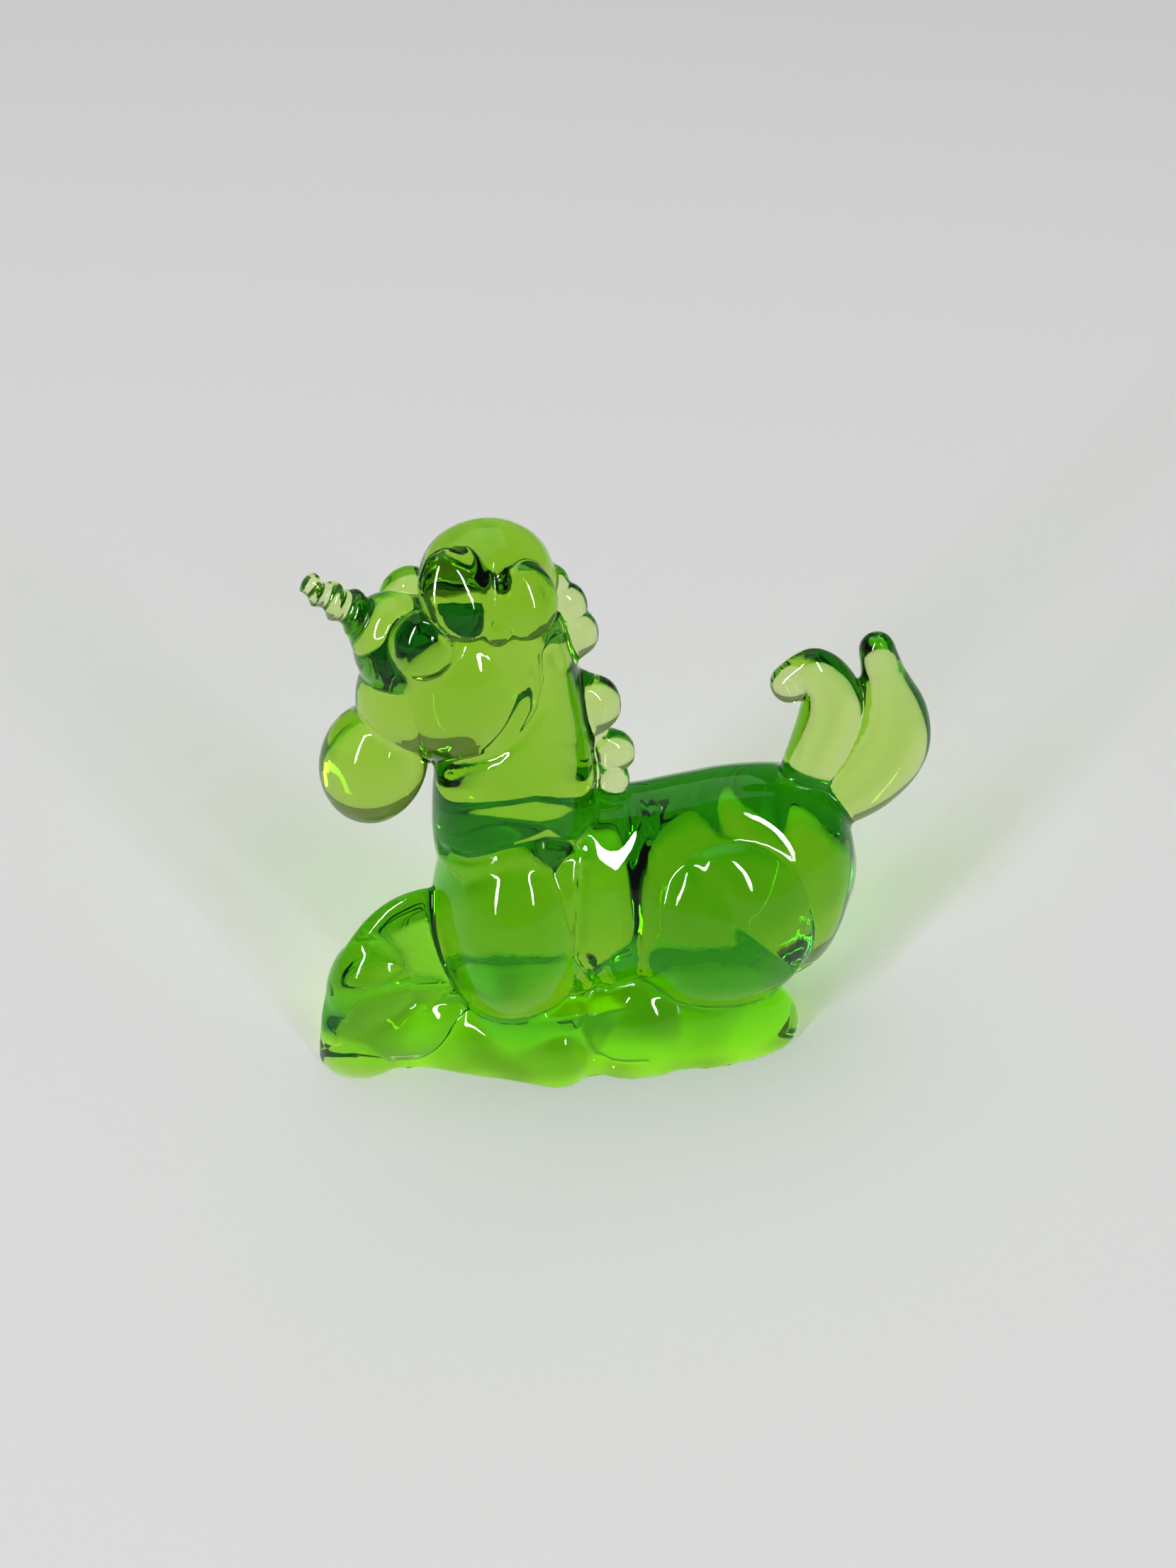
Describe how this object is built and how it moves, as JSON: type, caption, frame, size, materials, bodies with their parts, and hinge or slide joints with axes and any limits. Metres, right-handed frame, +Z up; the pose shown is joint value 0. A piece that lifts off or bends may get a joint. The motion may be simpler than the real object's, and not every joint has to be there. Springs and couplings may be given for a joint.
{
  "type": "unicorn figurine",
  "caption": "Clear green glass unicorn lying with folded legs, with a spirally wound horn, locks of mane and an upright two-lobed tail, to stand on a shelf.",
  "frame": {"origin": "middle of the flat underside", "axes": "+Z up, +X from the head to the tail, the figure's left side towards -Y"},
  "size_m": [0.0792, 0.0274, 0.074],
  "materials": {
    "glass": "polished clear green glass"
  },
  "bodies": {
    "root": {"trunk": "glass", "chest": "glass", "haunch_left": "glass", "haunch_right": "glass", "head": "glass", "neck": "glass", "poll": "glass", "forearms": "glass", "muzzle": "glass", "tail_rear_lock": "glass", "hind_leg_left": "glass", "hind_leg_right": "glass", "hind_hoof_left": "glass", "hind_hoof_right": "glass", "foreleg_left": "glass", "foreleg_right": "glass", "knees": "glass", "belly_web": "glass", "brow": "glass", "face": "glass", "tail_front_lock": "glass", "horn_boss": "glass", "horn": "glass", "side_lock_left": "glass", "side_lock_right": "glass", "eye_left": "glass", "eye_right": "glass", "forelock_curl_left": "glass", "forelock_curl_right": "glass", "middle_lock": "glass", "mane_lock_1": "glass", "mane_lock_2": "glass", "mane_lock_3": "glass", "mane_lock_4": "glass", "mane_lock_5": "glass", "mane_lock_6": "glass"}
  },
  "joints": []
}
